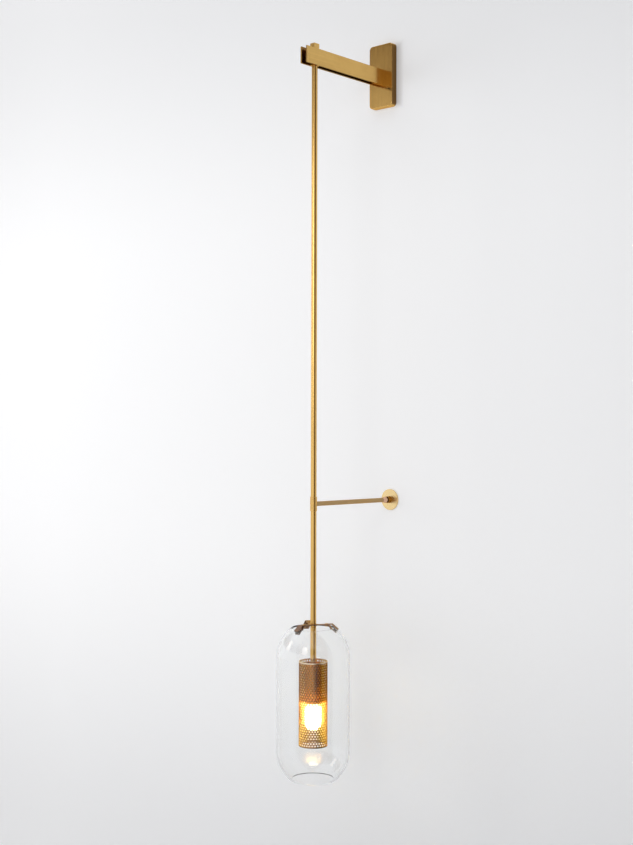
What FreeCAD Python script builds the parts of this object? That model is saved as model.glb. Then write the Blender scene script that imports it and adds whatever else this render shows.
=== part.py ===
import FreeCAD, Part
import math
import os

# Hanging pendant wall sconce. Millimetres, +Z up, wall at Y = 0, the lamp stands out towards -Y.
# The origin is the centre of the wall plate's back, on the wall.

os.makedirs("parts", exist_ok=True)

# Shared values
seat_gap = 0.2          # axial gap between pieces that turn on each other
run_gap = 0.05          # radial gap of a running fit
free_gap = 0.3          # gap between pieces that only pass each other
sheet = 1.2             # bent strip thickness
tiny_round = 0.4        # broken edge on machined brass

# Wall plate
plate_width = 56.0
plate_height = 120.0
plate_depth = 13.0
plate_side_wall = 1.5
plate_front_wall = 2.0
plate_corner = 7.0
plate_edge = 1.0

# Mounting strap on the wall, with tabs that carry the plate
strap_width = 26.0
strap_thick = 2.0
strap_tab = 8.0
strap_slot_pitch = 60.0
strap_slot_width = 4.6
strap_slot_length = 12.0
strap_cable_hole = 22.0
cover_screw = 3.0
cover_screw_length = 6.0
screw_slot = 0.6
screw_slot_depth = 0.8
earth_screw_size = 4.0
earth_screw_rise = 14.0 # above the plate's lower end
earth_head = 7.0
earth_head_thick = 2.2

# Terminal block
terminal_width = 26.0
terminal_height = 13.0
terminal_depth = 7.5
terminal_drop = 16.0    # terminal block's middle below the plate's top
terminal_pitch = 8.0
terminal_bore = 3.2
terminal_well = 3.8
terminal_ways = 3
terminal_screw_sink = 0.5

# Arm
arm_drop = 4.8          # the arm's middle lies this far under the plate's middle
bar_length = 217.0
bar_height = 30.0
bar_thick = 3.0
bar_gap = 10.4
bar_edge = 0.3
rod_reach = 188.2       # drop rod's axis to the plate's front
backing_width = 30.0
backing_height = 34.0
backing_thick = 3.0
root_length = 22.0
root_height = 26.0
root_screw = 5.0
root_screw_pitch = 18.0
root_screw_grip = 15.0
root_head = 9.0
root_head_thick = 3.0
bar_screw = 4.0
bar_screw_head = 7.4
bar_screw_cover = 0.6     # brass left over the screws' blind ends
conduit_outer = 6.0
conduit_inner = 4.4
conduit_seat = 8.0
conduit_lip = 2.0       # how far the conduit enters the hanger block

# Hanger block and hollow bolt
block_length = 13.0
block_rise = 10.0       # block above the bars' tops
block_cover = 3.0       # brass left over the bolt's blind hole
bolt_outer = 8.0
bolt_inner = 5.0
bolt_tail = 12.0        # what the rod turns on
washer_thick = 0.8
washer_outer = 10.4

# Drop rod
rod_outer = 10.5
rod_length = 1079.0
nipple_inner = 5.0
nipple_grip = 12.0
nipple_reach = 8.0
nut_outer = 13.0
nut_thick = 3.0

# Stay between drop rod and wall
stay_drop = 811.6       # under the plate's middle
stay_offset = 15.3      # the wall rose's centre lies this far to the right of the rod
collar_outer = 12.4
collar_height = 26.0
collar_screw = 3.0
collar_screw_length = 2.6
stay_outer = 8.5
ferrule_length = 9.0
ferrule_small = 8.9
ferrule_large = 12.4
ball_outer = 8.0
neck_outer = 5.0
neck_length = 2.4
rose_outer = 40.0
rose_thick = 2.0
rose_edge = 0.5
boss_outer = 10.0
boss_height = 3.5
boss_pocket = 6.6       # room for the head of the wall screw
ball_sink = 0.3         # how deep the ball sits in the boss
rose_hole = 3.6
swivel_nut_outer = 12.6
nut_mouth = 7.0
nut_lip = 1.4
knurl_count = 24
knurl_size = 0.9

# Glass shade
glass_radius = 66.2
glass_wall = 3.0
glass_straight = 169.5
glass_rise = 12.1       # centre of the upper shoulder above the rod's lower end
mouth_radius = 39.3     # middle of the rounded rim, top and bottom

# Spider that holds the glass
spider_ring = 17.0
spider_arm_width = 9.5
spider_bend_radius = 34.3
spider_tip_reach = 2.65  # the arms' tips past the middle of the outer pads
spider_rise = 2.2       # the arms climb this much from the ring to the bend
spider_slope = 40.0     # the tips lie parallel to the glass shoulder
spider_first_angle = -90.0
leaf_start = 20.0
leaf_bend = 29.5
leaf_foot = 33.5        # where the lower leaf meets the slope of the glass
leaf_tip_reach = 1.8     # the lower leaves' tips past the middle of the inner pads
pad_thick = 1.6
pad_length = 5.6
pad_width = 8.0
claw_screw = 3.0
claw_screw_radius = 24.5
claw_head = 5.2
claw_head_thick = 1.0
claw_nut_thick = 1.8
stop_ring_outer = 13.0
stop_ring_height = 1.6

# Perforated tube, cup and lampholder
tube_outer = 52.0
tube_wall = 0.8
tube_length = 152.3
rim_height = 2.0
rim_wall = 1.3
cup_outer = 30.7
cup_wall = 1.0
cup_top_wall = 1.6
cup_length = 64.0
cup_below_tube_top = 4.6
cup_round = 1.0
carrier_thick = 1.5
holder_length = 42.0
skirt_outer = 24.0
skirt_length = 7.0
shell_outer = 17.0
shell_inner = 14.7
shell_length = 22.0
contact_outer = 6.0
contact_thick = 1.5
wire_hole = 2.6
wire_hole_offset = 6.0
shade_ring_outer = 29.0
shade_ring_height = 4.6

# Bulb
cap_outer = 13.9
tip_outer = 5.0
tip_length = 1.8
bulb_outer = 30.0
bulb_length = 50.0
bulb_wall = 1.0
bulb_neck = 2.0
bulb_shoulder = 9.0
filament_count = 4
filament_size = 1.6
filament_ring = 5.5
filament_length = 26.0
stem_outer = 5.5

# Places worked out from the values above
terminal_rise = plate_height / 2 - terminal_drop
earth_screw_drop = plate_height / 2 - earth_screw_rise
arm_z = -arm_drop
rod_y = -plate_depth - rod_reach
bar_outer_x = bar_gap / 2 + bar_thick
bar_bottom_z = arm_z - bar_height / 2
bar_top_z = arm_z + bar_height / 2
block_top_z = bar_top_z + block_rise
bolt_top_z = block_top_z - block_cover
rod_inner = bolt_outer + 2 * run_gap
rod_top_z = bar_bottom_z - washer_thick - seat_gap
rod_bottom_z = rod_top_z - rod_length
cup_bottom_z = rod_bottom_z - cup_length
cup_inner = cup_outer - 2 * cup_wall
tube_top_z = rod_bottom_z + cup_below_tube_top
tube_bottom_z = tube_top_z - tube_length
tube_inner = tube_outer - 2 * tube_wall
carrier_bottom_z = cup_bottom_z - carrier_thick
skirt_bottom_z = cup_bottom_z - skirt_length
shell_top_z = skirt_bottom_z + shell_length
cap_top_z = shell_top_z - contact_thick - free_gap - tip_length
glass_center_z = rod_bottom_z + glass_rise
glass_low_center_z = glass_center_z - glass_straight
glass_middle = glass_radius - glass_wall / 2
rim_angle = math.asin(mouth_radius / glass_middle)
pad_sine = math.sin(math.radians(spider_slope))
spider_tip_radius = glass_radius * pad_sine + spider_tip_reach
leaf_tip_radius = (glass_radius - glass_wall) * pad_sine + leaf_tip_reach
stay_z = -stay_drop
ball_radius = ball_outer / 2
ball_y = ball_sink - rose_thick - boss_height - math.sqrt(ball_radius ** 2 - (boss_pocket / 2) ** 2)
stay_reach = math.hypot(stay_offset, ball_y - rod_y)
stay_angle = math.degrees(math.atan2(stay_offset, ball_y - rod_y))
ferrule_end = stay_reach - ball_radius - neck_length
claw_angles = [spider_first_angle + 120.0 * index for index in range(3)]
claw_names = ["front", "right", "left"]

AXIS_X = FreeCAD.Vector(1, 0, 0)
AXIS_Y = FreeCAD.Vector(0, 1, 0)
AXIS_Z = FreeCAD.Vector(0, 0, 1)
CENTER = FreeCAD.Vector(0, 0, 0)
ROD_AXIS = FreeCAD.Vector(0, rod_y, 0)


def save(name, *solids):
    shape = solids[0] if len(solids) == 1 else Part.makeCompound(list(solids))
    shape.exportStep("parts/" + name + ".step")


def box(x_low, x_high, y_low, y_high, z_low, z_high):
    corner = FreeCAD.Vector(x_low, y_low, z_low)
    return Part.makeBox(x_high - x_low, y_high - y_low, z_high - z_low, corner)


def rod_z(diameter, z_low, z_high, x=0.0, y=None):
    base = FreeCAD.Vector(x, rod_y if y is None else y, z_low)
    return Part.makeCylinder(diameter / 2, z_high - z_low, base, AXIS_Z)


def upright(diameter, z_low, z_high):
    return rod_z(diameter, z_low, z_high, y=0.0)


def rod_along_y(diameter, y_low, y_high, x=0.0, z=0.0):
    return Part.makeCylinder(diameter / 2, y_high - y_low, FreeCAD.Vector(x, y_low, z), AXIS_Y)


def rod_along_x(diameter, x_low, x_high, y=0.0, z=0.0):
    return Part.makeCylinder(diameter / 2, x_high - x_low, FreeCAD.Vector(x_low, y, z), AXIS_X)


def tube_z(outer, inner, z_low, z_high):
    return rod_z(outer, z_low, z_high).cut(rod_z(inner, z_low, z_high))


def edges_along(shape, axis):
    found = []
    for edge in shape.Edges:
        if isinstance(edge.Curve, Part.Line) and abs(edge.tangentAt(edge.FirstParameter).dot(axis)) > 0.999:
            found.append(edge)
    return found


def edges_at(shape, coordinate, value):
    found = []
    for edge in shape.Edges:
        low = getattr(edge.BoundBox, coordinate + "Min")
        high = getattr(edge.BoundBox, coordinate + "Max")
        if abs(low - value) < 0.01 and abs(high - value) < 0.01:
            found.append(edge)
    return found


# Wall plate, strap and what is behind the plate

def plate_block(inset, y_low, y_high):
    half_x = plate_width / 2 - inset
    half_z = plate_height / 2 - inset
    block = box(-half_x, half_x, y_low, y_high, -half_z, half_z)
    return block.makeFillet(plate_corner - inset, edges_along(block, AXIS_Y))


def root_screw_places():
    return [arm_z - root_screw_pitch / 2, arm_z + root_screw_pitch / 2]


def cover_screw_y():
    return -strap_thick - strap_tab / 2


def wall_plate():
    shell = plate_block(0.0, -plate_depth, 0.0)
    shell = shell.makeFillet(plate_edge, edges_at(shell, "Y", -plate_depth))
    shell = shell.cut(plate_block(plate_side_wall, -plate_depth + plate_front_wall, 1.0))
    for z in root_screw_places():
        shell = shell.cut(rod_along_y(root_screw, -plate_depth - 1, 0, z=z))
    shell = shell.cut(rod_along_y(conduit_inner, -plate_depth - 1, 0, z=arm_z))
    screws = rod_z(cover_screw, -plate_height, plate_height, y=cover_screw_y())
    return shell.cut(screws)


def slot_cutter(z):
    half = (strap_slot_length - strap_slot_width) / 2
    middle = box(-strap_slot_width / 2, strap_slot_width / 2, -strap_thick - 1, 1, z - half, z + half)
    low_end = rod_along_y(strap_slot_width, -strap_thick - 1, 1, z=z - half)
    high_end = rod_along_y(strap_slot_width, -strap_thick - 1, 1, z=z + half)
    return middle.fuse([low_end, high_end])


def mounting_strap():
    half_z = plate_height / 2 - plate_side_wall
    half_x = strap_width / 2
    strap = box(-half_x, half_x, -strap_thick, 0, -half_z, half_z)
    tab_y = -strap_thick - strap_tab
    high_tab = box(-half_x, half_x, tab_y, 0, half_z - strap_thick, half_z)
    low_tab = box(-half_x, half_x, tab_y, 0, -half_z, -half_z + strap_thick)
    strap = strap.fuse([high_tab, low_tab]).removeSplitter()
    for z in (-strap_slot_pitch / 2, strap_slot_pitch / 2):
        strap = strap.cut(slot_cutter(z))
    strap = strap.cut(rod_along_y(strap_cable_hole, -strap_thick - 1, 1))
    strap = strap.cut(rod_along_y(earth_screw_size, -strap_thick - 1, 1, z=-earth_screw_drop))
    return strap.cut(rod_z(cover_screw, -plate_height, plate_height, y=cover_screw_y()))


def cover_screws():
    top = plate_height / 2
    low = top - cover_screw_length
    y = cover_screw_y()
    screw = rod_z(cover_screw, low, top, y=y)
    slot = box(-cover_screw, cover_screw, y - screw_slot / 2, y + screw_slot / 2, top - screw_slot_depth, top + 1)
    screw = screw.cut(slot)
    return [screw, screw.mirror(CENTER, AXIS_Z)]


def earth_screw():
    shank = rod_along_y(earth_screw_size, -strap_thick, 0, z=-earth_screw_drop)
    head_y = -strap_thick - earth_head_thick
    head = rod_along_y(earth_head, head_y, -strap_thick, z=-earth_screw_drop)
    slot_half = screw_slot / 2
    slot = box(-earth_head, earth_head, head_y - 1, head_y + screw_slot_depth,
               -earth_screw_drop - slot_half, -earth_screw_drop + slot_half)
    return head.cut(slot).fuse(shank)


def terminal_places():
    first = -terminal_pitch * (terminal_ways - 1) / 2
    return [first + terminal_pitch * index for index in range(terminal_ways)]


def terminal_block():
    back = -strap_thick
    front = back - terminal_depth
    low = terminal_rise - terminal_height / 2
    high = terminal_rise + terminal_height / 2
    block = box(-terminal_width / 2, terminal_width / 2, front, back, low, high)
    bore_y = back - terminal_bore
    for x in terminal_places():
        block = block.cut(rod_z(terminal_bore, low - 1, high + 1, x=x, y=bore_y))
        block = block.cut(rod_along_y(terminal_well, front - 1, bore_y, x=x, z=terminal_rise))
    return block


def terminal_screws():
    front = -strap_thick - terminal_depth
    bore_front = -strap_thick - terminal_bore * 1.5
    screws = []
    for x in terminal_places():
        screws.append(rod_along_y(terminal_well, front + terminal_screw_sink, bore_front, x=x, z=terminal_rise))
    return screws


# Arm

def arm_backing_plate():
    back = -plate_depth + plate_front_wall + backing_thick
    half_z = backing_height / 2
    half_x = backing_width / 2
    plate = box(-half_x, half_x, back - backing_thick, back, arm_z - half_z, arm_z + half_z)
    for z in root_screw_places():
        plate = plate.cut(rod_along_y(root_screw, -plate_depth, 0, z=z))
    return plate.cut(rod_along_y(conduit_inner, -plate_depth, 0, z=arm_z))


def arm_root_screws():
    seat = -plate_depth + plate_front_wall + backing_thick
    screws = []
    for z in root_screw_places():
        head = rod_along_y(root_head, seat, seat + root_head_thick, z=z)
        socket = rod_along_y(root_head / 2, seat + root_head_thick / 2, seat + root_head_thick + 1, z=z)
        shank = rod_along_y(root_screw, -plate_depth - root_screw_grip, seat, z=z)
        screws.append(head.cut(socket).fuse(shank))
    return screws


def bar_screw_places():
    y = -plate_depth - root_length + bar_screw
    return [(y, arm_z - root_height / 4), (y, arm_z + root_height / 4)]


def bar_screw_solid(y, z):
    tip_x = bar_outer_x - bar_screw_cover
    shank = rod_along_x(bar_screw, -bar_outer_x, tip_x, y=y, z=z)
    sink = (bar_screw_head - bar_screw) / 2
    base = FreeCAD.Vector(-bar_outer_x, y, z)
    head = Part.makeCone(bar_screw_head / 2, bar_screw / 2, sink, base, AXIS_X)
    return shank.fuse(head)


def arm_bar(side):
    inner = bar_gap / 2
    outer = bar_outer_x
    x_low, x_high = (inner, outer) if side > 0 else (-outer, -inner)
    front = -plate_depth - bar_length
    bar = box(x_low, x_high, front, -plate_depth, bar_bottom_z, bar_top_z)
    bar = bar.makeChamfer(bar_edge, edges_along(bar, AXIS_Y))
    for y, z in bar_screw_places():
        bar = bar.cut(bar_screw_solid(y, z))
    return bar


def arm_root_block():
    half_z = root_height / 2
    front = -plate_depth - root_length
    block = box(-bar_gap / 2, bar_gap / 2, front, -plate_depth, arm_z - half_z, arm_z + half_z)
    block = block.cut(rod_along_y(conduit_inner, front - 1, 0, z=arm_z))
    block = block.cut(rod_along_y(conduit_outer, front - 1, front + conduit_seat, z=arm_z))
    for z in root_screw_places():
        block = block.cut(rod_along_y(root_screw, -plate_depth - root_screw_grip, 0, z=z))
    for y, z in bar_screw_places():
        block = block.cut(bar_screw_solid(y, z))
    return block


def block_back_y():
    return rod_y + block_length / 2


def wire_conduit():
    low = block_back_y() - conduit_lip
    high = -plate_depth - root_length + conduit_seat
    outer = rod_along_y(conduit_outer, low, high, z=arm_z)
    return outer.cut(rod_along_y(conduit_inner, low, high, z=arm_z))


def hanger_block():
    half_y = block_length / 2
    block = box(-bar_gap / 2, bar_gap / 2, rod_y - half_y, rod_y + half_y, bar_bottom_z, block_top_z)
    block = block.makeChamfer(tiny_round, edges_at(block, "Z", block_top_z))
    block = block.cut(rod_z(bolt_outer, bar_bottom_z - 1, bolt_top_z))
    block = block.cut(rod_along_y(conduit_inner, rod_y, block_back_y() + 1, z=arm_z))
    return block.cut(rod_along_y(conduit_outer, block_back_y() - conduit_lip, block_back_y() + 1, z=arm_z))


def hanger_bolt():
    tail_z = rod_top_z - bolt_tail
    bolt = rod_z(bolt_outer, tail_z, bolt_top_z)
    bolt = bolt.cut(rod_z(bolt_inner, tail_z - 1, arm_z + conduit_inner))
    return bolt.cut(rod_along_y(conduit_inner, rod_y, rod_y + bolt_outer, z=arm_z))


# Drop rod

def swivel_washer():
    return tube_z(washer_outer, bolt_outer, bar_bottom_z - washer_thick, bar_bottom_z)


def drop_rod():
    return tube_z(rod_outer, rod_inner, rod_bottom_z, rod_top_z)


def rod_nipple():
    return tube_z(rod_inner, nipple_inner, rod_bottom_z - nipple_reach, rod_bottom_z + nipple_grip)


def nipple_nut():
    top = rod_bottom_z - cup_top_wall
    return tube_z(nut_outer, rod_inner, top - nut_thick, top)


# Stay. Its pieces are drawn along +Y from the rod's axis, then turned to point at the wall rose.

def place_stay(shape):
    shape.rotate(CENTER, AXIS_Z, -stay_angle)
    shape.translate(FreeCAD.Vector(0, rod_y, stay_z))
    return shape


def stay_collar():
    half = collar_height / 2
    collar = upright(collar_outer, -half, half)
    collar = collar.makeChamfer(tiny_round, edges_at(collar, "Z", half) + edges_at(collar, "Z", -half))
    collar = collar.cut(upright(rod_outer + 2 * run_gap, -half - 1, half + 1))
    collar = collar.cut(rod_along_x(collar_screw, -collar_outer, 0))
    return place_stay(collar)


def collar_set_screw():
    inner_end = -rod_outer / 2 - 2 * run_gap
    return place_stay(rod_along_x(collar_screw, inner_end - collar_screw_length, inner_end))


def stay_rod():
    rod = rod_along_y(stay_outer, 0, ferrule_end - ferrule_length)
    return place_stay(rod.cut(upright(collar_outer, -collar_height, collar_height)))


def stay_ferrule():
    base = FreeCAD.Vector(0, ferrule_end - ferrule_length, 0)
    bell = Part.makeCone(ferrule_small / 2, ferrule_large / 2, ferrule_length, base, AXIS_Y)
    bell = bell.makeFillet(tiny_round * 2, edges_at(bell, "Y", ferrule_end))
    return place_stay(bell)


def swivel_ball():
    ball = Part.makeSphere(ball_radius, FreeCAD.Vector(0, stay_reach, 0))
    neck = rod_along_y(neck_outer, ferrule_end, stay_reach)
    return place_stay(ball.fuse(neck))


def wall_rose():
    disc = rod_along_y(rose_outer, -rose_thick, 0, x=stay_offset, z=stay_z)
    disc = disc.makeFillet(rose_edge, edges_at(disc, "Y", -rose_thick))
    boss = rod_along_y(boss_outer, -rose_thick - boss_height, 0, x=stay_offset, z=stay_z)
    rose = disc.fuse(boss)
    pocket = rod_along_y(boss_pocket, -rose_thick - boss_height - 1, -rose_thick, x=stay_offset, z=stay_z)
    rose = rose.cut(pocket)
    rose = rose.cut(Part.makeSphere(ball_radius + run_gap, FreeCAD.Vector(stay_offset, ball_y, stay_z)))
    return rose.cut(rod_along_y(rose_hole, -rose_thick - 1, 1, x=stay_offset, z=stay_z))


def knurled_nut():
    lip_y = ball_y - math.sqrt((ball_radius + run_gap) ** 2 - (nut_mouth / 2) ** 2)
    back = -rose_thick - seat_gap
    nut = rod_along_y(swivel_nut_outer, lip_y - nut_lip, back, x=stay_offset, z=stay_z)
    nut = nut.makeChamfer(tiny_round, edges_at(nut, "Y", lip_y - nut_lip))
    nut = nut.cut(rod_along_y(boss_outer + 2 * run_gap, lip_y, back + 1, x=stay_offset, z=stay_z))
    nut = nut.cut(rod_along_y(nut_mouth, lip_y - nut_lip - 1, lip_y + 1, x=stay_offset, z=stay_z))
    grooves = []
    for index in range(knurl_count):
        angle = 2 * math.pi * index / knurl_count
        x = stay_offset + swivel_nut_outer / 2 * math.cos(angle)
        z = stay_z + swivel_nut_outer / 2 * math.sin(angle)
        grooves.append(rod_along_y(knurl_size, lip_y + nut_lip, back + 1, x=x, z=z))
    return nut.cut(grooves)


# Glass and the spider that holds it. Shoulder shapes are drawn as (radius, z) about the rod's axis.

def point(radius, z):
    return FreeCAD.Vector(radius, rod_y, z)


def shoulder_point(radius, angle, center_z, up):
    return point(radius * math.sin(angle), center_z + up * radius * math.cos(angle))


def shoulder_arc(radius, center_z, up):
    rim = shoulder_point(radius, rim_angle, center_z, up)
    half = shoulder_point(radius, (rim_angle + math.pi / 2) / 2, center_z, up)
    side = point(radius, center_z)
    return Part.Arc(rim, half, side).toShape()


def straight_side(radius):
    return Part.LineSegment(point(radius, glass_center_z), point(radius, glass_low_center_z)).toShape()


def rim_arc(center_z, up):
    outer = shoulder_point(glass_radius, rim_angle, center_z, up)
    inner = shoulder_point(glass_radius - glass_wall, rim_angle, center_z, up)
    center = shoulder_point(glass_middle, rim_angle, center_z, up)
    turn = glass_wall / 2
    crown = FreeCAD.Vector(-math.cos(rim_angle) * turn, 0, up * math.sin(rim_angle) * turn)
    return Part.Arc(outer, center + crown, inner).toShape()


def glass_shade():
    inner = glass_radius - glass_wall
    edges = [shoulder_arc(glass_radius, glass_center_z, 1),
             straight_side(glass_radius),
             shoulder_arc(glass_radius, glass_low_center_z, -1),
             rim_arc(glass_low_center_z, -1),
             shoulder_arc(inner, glass_low_center_z, -1),
             straight_side(inner),
             shoulder_arc(inner, glass_center_z, 1),
             rim_arc(glass_center_z, 1)]
    outline = Part.Wire(Part.sortEdges(edges)[0])
    return Part.Face(outline).revolve(ROD_AXIS, AXIS_Z, 360)


def strip(line, side):
    """Bent strip: a (radius, z) line, thickened to one side, +1 above it or -1 below it."""
    near = [point(radius, z) for radius, z in line]
    normals = []
    for start, end in zip(near, near[1:]):
        along = (end - start).normalize()
        normals.append(FreeCAD.Vector(-along.z, 0, along.x) * side)
    shifts = [normals[0]]
    for first, second in zip(normals, normals[1:]):
        shifts.append((first + second) * (1 / (1 + first.dot(second))))
    shifts.append(normals[-1])
    far = [corner + shift * sheet for corner, shift in zip(near, shifts)]
    face = Part.Face(Part.makePolygon(near + far[::-1] + [near[0]]))
    face.translate(FreeCAD.Vector(0, -spider_arm_width / 2, 0))
    return face.extrude(FreeCAD.Vector(0, spider_arm_width, 0))


def turned(shape, angle):
    copy = shape.copy()
    copy.rotate(ROD_AXIS, AXIS_Z, angle)
    return copy


def slope_z(radius, glass_side, shift):
    """Height of a line that lies along the glass shoulder, shifted off a glass face."""
    slope = math.radians(spider_slope)
    touch_radius = (glass_side + shift) * math.sin(slope)
    touch_z = glass_center_z + (glass_side + shift) * math.cos(slope)
    return touch_z - (radius - touch_radius) * math.tan(slope)


def spider_bend_z():
    return slope_z(spider_bend_radius, glass_radius, pad_thick)


def spider_ring_z():
    return spider_bend_z() - spider_rise


def arm_underside_z(radius):
    start = spider_ring / 2
    share = (radius - start) / (spider_bend_radius - start)
    return spider_ring_z() + spider_rise * share


def on_arm(shape):
    """Seats a shape, drawn upright at the origin, on the underside of the climbing arm."""
    rise = math.degrees(math.atan2(spider_rise, spider_bend_radius - spider_ring / 2))
    shape.rotate(CENTER, AXIS_Y, -rise)
    shape.translate(point(claw_screw_radius, arm_underside_z(claw_screw_radius)))
    return shape


def claw_screw_cutter():
    return on_arm(upright(claw_screw, -2 * sheet, 2 * sheet))


def claw_spider():
    ring_z = spider_ring_z()
    spider = rod_z(spider_ring, ring_z, ring_z + sheet)
    line = [((rod_outer + spider_ring) / 4, ring_z),
            (spider_ring / 2, ring_z),
            (spider_bend_radius, spider_bend_z()),
            (spider_tip_radius, slope_z(spider_tip_radius, glass_radius, pad_thick))]
    arm = strip(line, 1).cut(claw_screw_cutter())
    spider = spider.fuse([turned(arm, angle) for angle in claw_angles]).removeSplitter()
    return spider.cut(rod_z(rod_outer, ring_z - 1, ring_z + 2 * sheet))


def claw_leaf():
    inner = glass_radius - glass_wall
    line = [(leaf_start, arm_underside_z(leaf_start)),
            (leaf_bend, arm_underside_z(leaf_bend)),
            (leaf_foot, slope_z(leaf_foot, inner, -pad_thick)),
            (leaf_tip_radius, slope_z(leaf_tip_radius, inner, -pad_thick))]
    return strip(line, -1).cut(claw_screw_cutter())


def claw_pad(glass_side, shift, top_gap):
    slope = math.radians(spider_slope)
    pad = box(-pad_length / 2, pad_length / 2, -pad_width / 2, pad_width / 2, 0, pad_thick - top_gap)
    pad.rotate(CENTER, AXIS_Y, spider_slope)
    distance = glass_side + shift
    pad.translate(point(distance * math.sin(slope), glass_center_z + distance * math.cos(slope)))
    return pad


def claw_pads():
    outer_pad = claw_pad(glass_radius, 0.0, 0.0)
    inner_pad = claw_pad(glass_radius - glass_wall, -pad_thick, free_gap)
    pads = []
    for angle in claw_angles:
        pads.append(turned(outer_pad, angle))
        pads.append(turned(inner_pad, angle))
    return pads


def claw_screw_solid():
    nut_low = -sheet - claw_nut_thick
    head = upright(claw_head, sheet, sheet + claw_head_thick)
    shank = upright(claw_screw, nut_low, sheet)
    nut = upright(claw_head, nut_low, -sheet)
    return on_arm(head.fuse([shank, nut]).removeSplitter())


def spider_stop_ring():
    top = spider_ring_z()
    return tube_z(stop_ring_outer, rod_outer, top - stop_ring_height, top)


# Perforated tube, cup and lampholder

def perforated_tube():
    return tube_z(tube_outer, tube_inner, tube_bottom_z + rim_height, tube_top_z - rim_height)


def tube_rim(z_low):
    return tube_z(tube_outer, tube_outer - 2 * rim_wall, z_low, z_low + rim_height)


def lampholder_cup():
    cup = rod_z(cup_outer, cup_bottom_z, rod_bottom_z)
    cup = cup.makeFillet(cup_round, edges_at(cup, "Z", rod_bottom_z))
    cup = cup.cut(rod_z(cup_inner, cup_bottom_z, rod_bottom_z - cup_top_wall))
    return cup.cut(rod_z(rod_inner, cup_bottom_z, rod_bottom_z + 1))


def tube_carrier():
    return tube_z(tube_inner, skirt_outer, carrier_bottom_z, cup_bottom_z)


def lampholder_body():
    top = cup_bottom_z + holder_length
    body = rod_z(cup_inner, cup_bottom_z, top)
    body = body.fuse(rod_z(skirt_outer, skirt_bottom_z, cup_bottom_z)).removeSplitter()
    body = body.cut(rod_z(shell_outer, skirt_bottom_z - 1, shell_top_z))
    for x in (-wire_hole_offset, wire_hole_offset):
        body = body.cut(rod_z(wire_hole, shell_top_z - 1, top + 1, x=x))
    return body


def contact_shell():
    return tube_z(shell_outer, shell_inner, skirt_bottom_z, shell_top_z)


def centre_contact():
    return rod_z(contact_outer, shell_top_z - contact_thick, shell_top_z)


def shade_ring():
    top = carrier_bottom_z - seat_gap
    ring = rod_z(shade_ring_outer, top - shade_ring_height, top)
    ring = ring.makeChamfer(tiny_round, edges_at(ring, "Z", top - shade_ring_height))
    return ring.cut(rod_z(skirt_outer + 2 * run_gap, top - shade_ring_height - 1, top + 1))


# Bulb

def bulb_outline(wall):
    """Half outline of the bulb's glass, from its neck to the end of its dome."""
    neck = cap_outer / 2 - wall
    side = bulb_outer / 2 - wall
    top = skirt_bottom_z - seat_gap
    shoulder_z = top - bulb_shoulder
    bottom_z = top - bulb_length + wall
    dome_z = bottom_z + side
    neck_edge = Part.LineSegment(point(neck, top), point(neck, top - bulb_neck)).toShape()
    shoulder = Part.LineSegment(point(neck, top - bulb_neck), point(side, shoulder_z)).toShape()
    wall_edge = Part.LineSegment(point(side, shoulder_z), point(side, dome_z)).toShape()
    half = point(side * math.sin(math.pi / 4), dome_z - side * math.cos(math.pi / 4))
    dome = Part.Arc(point(side, dome_z), half, point(0, bottom_z)).toShape()
    return [neck_edge, shoulder, wall_edge, dome]


def bulb_form(wall):
    top = skirt_bottom_z - seat_gap
    neck = cap_outer / 2 - wall
    edges = bulb_outline(wall)
    edges.append(Part.LineSegment(point(0, top - bulb_length + wall), point(0, top)).toShape())
    edges.append(Part.LineSegment(point(0, top), point(neck, top)).toShape())
    return Part.Face(Part.Wire(Part.sortEdges(edges)[0])).revolve(ROD_AXIS, AXIS_Z, 360)


def bulb_glass():
    return bulb_form(0.0).cut(bulb_form(bulb_wall))


def bulb_cap():
    low = skirt_bottom_z - seat_gap
    return rod_z(cap_outer, low, cap_top_z)


def bulb_tip():
    return rod_z(tip_outer, cap_top_z, cap_top_z + tip_length)


def bulb_stem():
    top = skirt_bottom_z - seat_gap
    post = rod_z(stem_outer, top - bulb_shoulder, top)
    disc_outer = 2 * filament_ring + 2 * filament_size
    return post.fuse(rod_z(disc_outer, top - bulb_shoulder - sheet, top - bulb_shoulder)).removeSplitter()


def bulb_filaments():
    top = skirt_bottom_z - seat_gap - bulb_shoulder - sheet
    sticks = []
    for index in range(filament_count):
        angle = 2 * math.pi * (index + 0.5) / filament_count
        x = filament_ring * math.cos(angle)
        y = rod_y + filament_ring * math.sin(angle)
        sticks.append(rod_z(filament_size, top - filament_length, top, x=x, y=y))
    return sticks


def build_wall_end():
    save("wall_plate", wall_plate())
    save("mounting_strap", mounting_strap())
    save("cover_screws", *cover_screws())
    save("earth_screw", earth_screw())
    save("terminal_block", terminal_block())
    save("terminal_screws", *terminal_screws())


def build_arm():
    save("arm_backing_plate", arm_backing_plate())
    save("arm_root_block", arm_root_block())
    save("arm_root_screws", *arm_root_screws())
    save("arm_bar_right", arm_bar(1))
    save("arm_bar_left", arm_bar(-1))
    save("bar_screws", *[bar_screw_solid(y, z) for y, z in bar_screw_places()])
    save("wire_conduit", wire_conduit())
    save("hanger_block", hanger_block())
    save("hanger_bolt", hanger_bolt())
    save("swivel_washer", swivel_washer())


def build_stay():
    save("stay_collar", stay_collar())
    save("collar_set_screw", collar_set_screw())
    save("stay_rod", stay_rod())
    save("stay_ferrule", stay_ferrule())
    save("swivel_ball", swivel_ball())
    save("wall_rose", wall_rose())
    save("knurled_nut", knurled_nut())


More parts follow.
